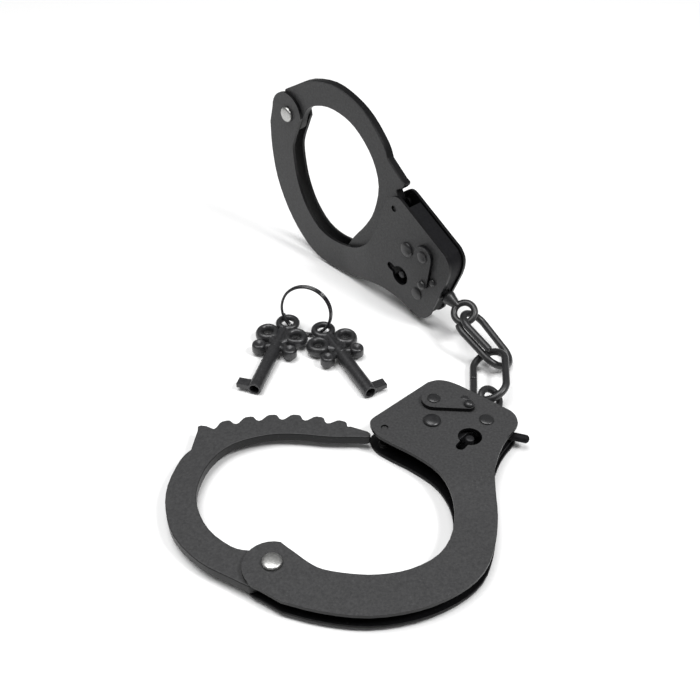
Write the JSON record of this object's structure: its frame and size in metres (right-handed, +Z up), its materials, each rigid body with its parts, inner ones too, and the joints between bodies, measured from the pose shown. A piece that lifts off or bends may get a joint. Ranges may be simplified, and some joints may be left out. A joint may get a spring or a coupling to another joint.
{
  "type": "ratchet handcuffs with keys",
  "caption": "Pair of black ratchet handcuffs joined by a short chain, one lying open and one standing nearly closed, with barrel keys on a split ring.",
  "frame": {"origin": "on the floor plane, under the middle of the whole set's bounding box", "axes": "+Z up from the floor the set rests on; +Y along the set from the near cuff's pivot towards the far cuff; +X across the near cuff, from its open arm towards the back of its bow"},
  "size_m": [0.1104, 0.1976, 0.0759],
  "materials": {
    "satin_black_coat": "satin black powder coat, fine speckle",
    "bright_nickel": "bright nickel, softly faceted dome",
    "dark_steel": "oiled dark steel, machined",
    "key_gunmetal": "dark gunmetal plating over a casting",
    "gloss_black_wire": "glossy black enamel on spring wire"
  },
  "bodies": {
    "near_case": {"near_cheek_front": "satin_black_coat", "near_cheek_back": "satin_black_coat", "near_edge_band": "satin_black_coat", "near_pivot_rivet": "bright_nickel", "near_spring_post": "satin_black_coat", "near_pawl_pin": "satin_black_coat", "near_stop_pin": "satin_black_coat", "near_key_post": "dark_steel", "near_pawl_spring": "dark_steel"},
    "near_arm": {"near_ratchet_arm": "satin_black_coat"},
    "near_pawl": {"near_pawl": "dark_steel", "near_release_rod": "satin_black_coat"},
    "near_lever": {"near_safety_lever": "satin_black_coat", "near_lever_rivet": "satin_black_coat", "near_lever_knob": "satin_black_coat", "near_lock_cam": "dark_steel"},
    "near_swivel": {"near_swivel": "satin_black_coat"},
    "link_near": {"link_near": "satin_black_coat"},
    "link_far": {"link_far": "satin_black_coat"},
    "far_swivel": {"far_swivel": "satin_black_coat"},
    "far_case": {"far_cheek_front": "satin_black_coat", "far_cheek_back": "satin_black_coat", "far_edge_band": "satin_black_coat", "far_pivot_rivet": "bright_nickel", "far_spring_post": "satin_black_coat", "far_pawl_pin": "satin_black_coat", "far_stop_pin": "satin_black_coat", "far_key_post": "dark_steel", "far_pawl_spring": "dark_steel"},
    "far_arm": {"far_ratchet_arm": "satin_black_coat"},
    "far_pawl": {"far_pawl": "dark_steel", "far_release_rod": "satin_black_coat"},
    "far_lever": {"far_safety_lever": "satin_black_coat", "far_lever_rivet": "satin_black_coat", "far_lever_knob": "satin_black_coat", "far_lock_cam": "dark_steel"},
    "key_ring": {"key_ring": "gloss_black_wire"},
    "key_1": {"key_1_bow": "key_gunmetal", "key_1_barrel": "key_gunmetal"},
    "key_2": {"key_2_bow": "key_gunmetal", "key_2_barrel": "key_gunmetal"}
  },
  "joints": [
    {"name": "near_arm_pivot", "type": "hinge", "parent": "near_case", "child": "near_arm", "pos_m": [-0.02234, -0.08195, 0.0042], "axis": [0, 0, 1], "continuous": true},
    {"name": "near_pawl_pivot", "type": "hinge", "parent": "near_case", "child": "near_pawl", "pos_m": [0.04141, -0.0275, 0.0042], "axis": [0, 0, 1], "range_deg": [-22, 6]},
    {"name": "near_lever_pivot", "type": "hinge", "parent": "near_case", "child": "near_lever", "pos_m": [0.02541, -0.0192, 0.0042], "axis": [0, 0, 1], "range_deg": [-42, 0]},
    {"name": "near_swivel_turn", "type": "hinge", "parent": "near_case", "child": "near_swivel", "pos_m": [0.04201, -0.0168, 0.0042], "axis": [0.5774, 0.8165, 0], "continuous": true},
    {"name": "link_near_hinge", "type": "hinge", "parent": "near_swivel", "child": "link_near", "pos_m": [0.04668, -0.0102, 0.0042], "axis": [-0.6713, 0.4747, 0.5692], "range_deg": [-60, 6]},
    {"name": "link_far_hinge", "type": "hinge", "parent": "link_near", "child": "link_far", "pos_m": [0.04659, 0.00939, 0.00525], "axis": [-0.8763, 0.1494, -0.4581], "range_deg": [-50, 20]},
    {"name": "far_swivel_hinge", "type": "hinge", "parent": "link_far", "child": "far_swivel", "pos_m": [0.03895, 0.02175, 0.01216], "axis": [-0.6965, -0.597, 0.398], "range_deg": [-50, 16]},
    {"name": "far_swivel_turn", "type": "hinge", "parent": "far_swivel", "child": "far_case", "pos_m": [0.03277, 0.02856, 0.01578], "axis": [0.6446, -0.7035, -0.2993], "continuous": true},
    {"name": "far_arm_pivot", "type": "hinge", "parent": "far_case", "child": "far_arm", "pos_m": [-0.02245, 0.08882, 0.05706], "axis": [-0.7373, -0.6756, 0], "continuous": true},
    {"name": "far_pawl_pivot", "type": "hinge", "parent": "far_case", "child": "far_pawl", "pos_m": [0.02576, 0.03621, 0.01307], "axis": [-0.7373, -0.6756, 0], "range_deg": [0, 25]},
    {"name": "far_lever_pivot", "type": "hinge", "parent": "far_case", "child": "far_lever", "pos_m": [0.02779, 0.034, 0.03085], "axis": [-0.7373, -0.6756, 0], "range_deg": [-42, 0]},
    {"name": "key_ring_lift", "type": "slide", "parent": "near_case", "child": "key_ring", "axis": [0, 0, 1], "range_m": [0, 0.12]},
    {"name": "key_1_round_ring", "type": "hinge", "parent": "key_ring", "child": "key_1", "pos_m": [-0.01696, 0.02745, 0.0098], "axis": [-0.3018, -0.9304, 0.2079], "range_deg": [-60, 0]},
    {"name": "key_2_round_ring", "type": "hinge", "parent": "key_ring", "child": "key_2", "pos_m": [-0.01696, 0.02745, 0.0098], "axis": [-0.3018, -0.9304, 0.2079], "range_deg": [0, 60]}
  ]
}
